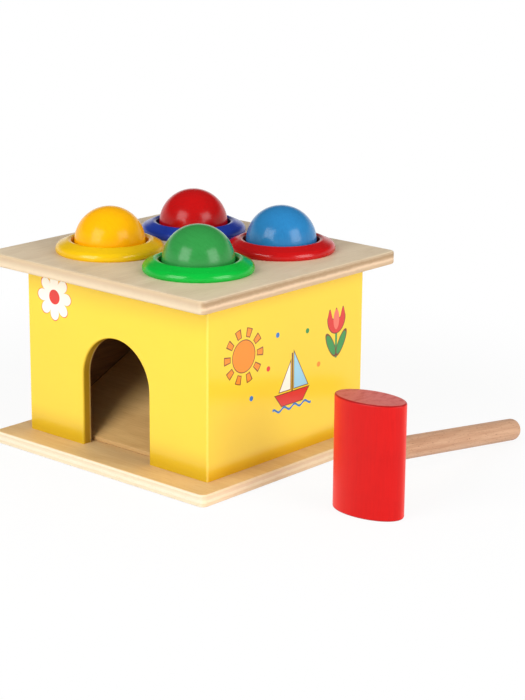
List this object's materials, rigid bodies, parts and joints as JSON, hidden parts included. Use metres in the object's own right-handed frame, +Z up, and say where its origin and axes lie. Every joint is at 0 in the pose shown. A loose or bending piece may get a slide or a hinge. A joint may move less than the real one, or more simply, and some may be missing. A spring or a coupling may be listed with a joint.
{
  "type": "ball pounding toy",
  "caption": "Wooden box with balls held in plastic collars in its lid; a ball knocked through with the separate mallet drops onto a ramp and rolls out of the arched door",
  "frame": {"origin": "point of the base board's underside below the middle of the walls, on the table", "axes": "+Z up, -Y towards the wall with the arched door, +X towards the side where the mallet stands"},
  "size_m": [0.2016, 0.1682, 0.1102],
  "materials": {
    "base_birch": "thin clear lacquer on warm birch plywood",
    "lid_birch": "thin clear lacquer on pale birch plywood",
    "yellow_paint": "gloss yellow paint on plywood",
    "ramp_birch": "bare birch plywood",
    "brad_steel": "plain steel wire",
    "collar_yellow": "glossy moulded plastic",
    "collar_blue": "glossy moulded plastic",
    "collar_red": "glossy moulded plastic",
    "collar_green": "glossy moulded plastic",
    "grip_yellow": "soft satin plastic",
    "grip_blue": "soft satin plastic",
    "grip_red": "soft satin plastic",
    "grip_green": "soft satin plastic",
    "ball_orange": "gloss yellow-orange paint on turned wood",
    "ball_red": "gloss red paint on turned wood",
    "ball_blue": "gloss blue paint on turned wood",
    "ball_green": "gloss green paint on turned wood",
    "mallet_red": "satin red paint on turned wood",
    "handle_beech": "bare sanded beech dowel"
  },
  "bodies": {
    "frame": {"base_board": "base_birch", "top_board": "lid_birch", "front_wall": "yellow_paint", "back_wall": "yellow_paint", "left_wall": "yellow_paint", "right_wall": "yellow_paint", "ramp_board": "ramp_birch", "ramp_ledger": "ramp_birch", "base_brad_1": "brad_steel", "base_brad_2": "brad_steel", "base_brad_3": "brad_steel", "base_brad_4": "brad_steel", "base_brad_5": "brad_steel", "base_brad_6": "brad_steel", "base_brad_7": "brad_steel", "base_brad_8": "brad_steel", "collar_front_left": "collar_yellow", "collar_back_left": "collar_blue", "collar_back_right": "collar_red", "collar_front_right": "collar_green", "grip_ring_front_left": "grip_yellow", "grip_ring_back_left": "grip_blue", "grip_ring_back_right": "grip_red", "grip_ring_front_right": "grip_green"},
    "ball_front_left": {"ball_front_left": "ball_orange"},
    "ball_back_left": {"ball_back_left": "ball_red"},
    "ball_back_right": {"ball_back_right": "ball_blue"},
    "ball_front_right": {"ball_front_right": "ball_green"},
    "mallet": {"mallet_head": "mallet_red", "mallet_handle": "handle_beech"}
  },
  "joints": [
    {"name": "ball_front_left_drop", "type": "slide", "parent": "frame", "child": "ball_front_left", "axis": [0, 0, -1], "range_m": [-0.02, 0.0601], "deforming": ["grip_ring_front_left"]},
    {"name": "ball_back_left_drop", "type": "slide", "parent": "frame", "child": "ball_back_left", "axis": [0, 0, -1], "range_m": [-0.02, 0.0347], "deforming": ["grip_ring_back_left"]},
    {"name": "ball_back_right_drop", "type": "slide", "parent": "frame", "child": "ball_back_right", "axis": [0, 0, -1], "range_m": [-0.02, 0.0347], "deforming": ["grip_ring_back_right"]},
    {"name": "ball_front_right_drop", "type": "slide", "parent": "frame", "child": "ball_front_right", "axis": [0, 0, -1], "range_m": [-0.02, 0.0601], "deforming": ["grip_ring_front_right"]},
    {"name": "mallet_lift", "type": "slide", "parent": "frame", "child": "mallet", "axis": [0, 0, 1], "range_m": [0, 0.12]}
  ]
}
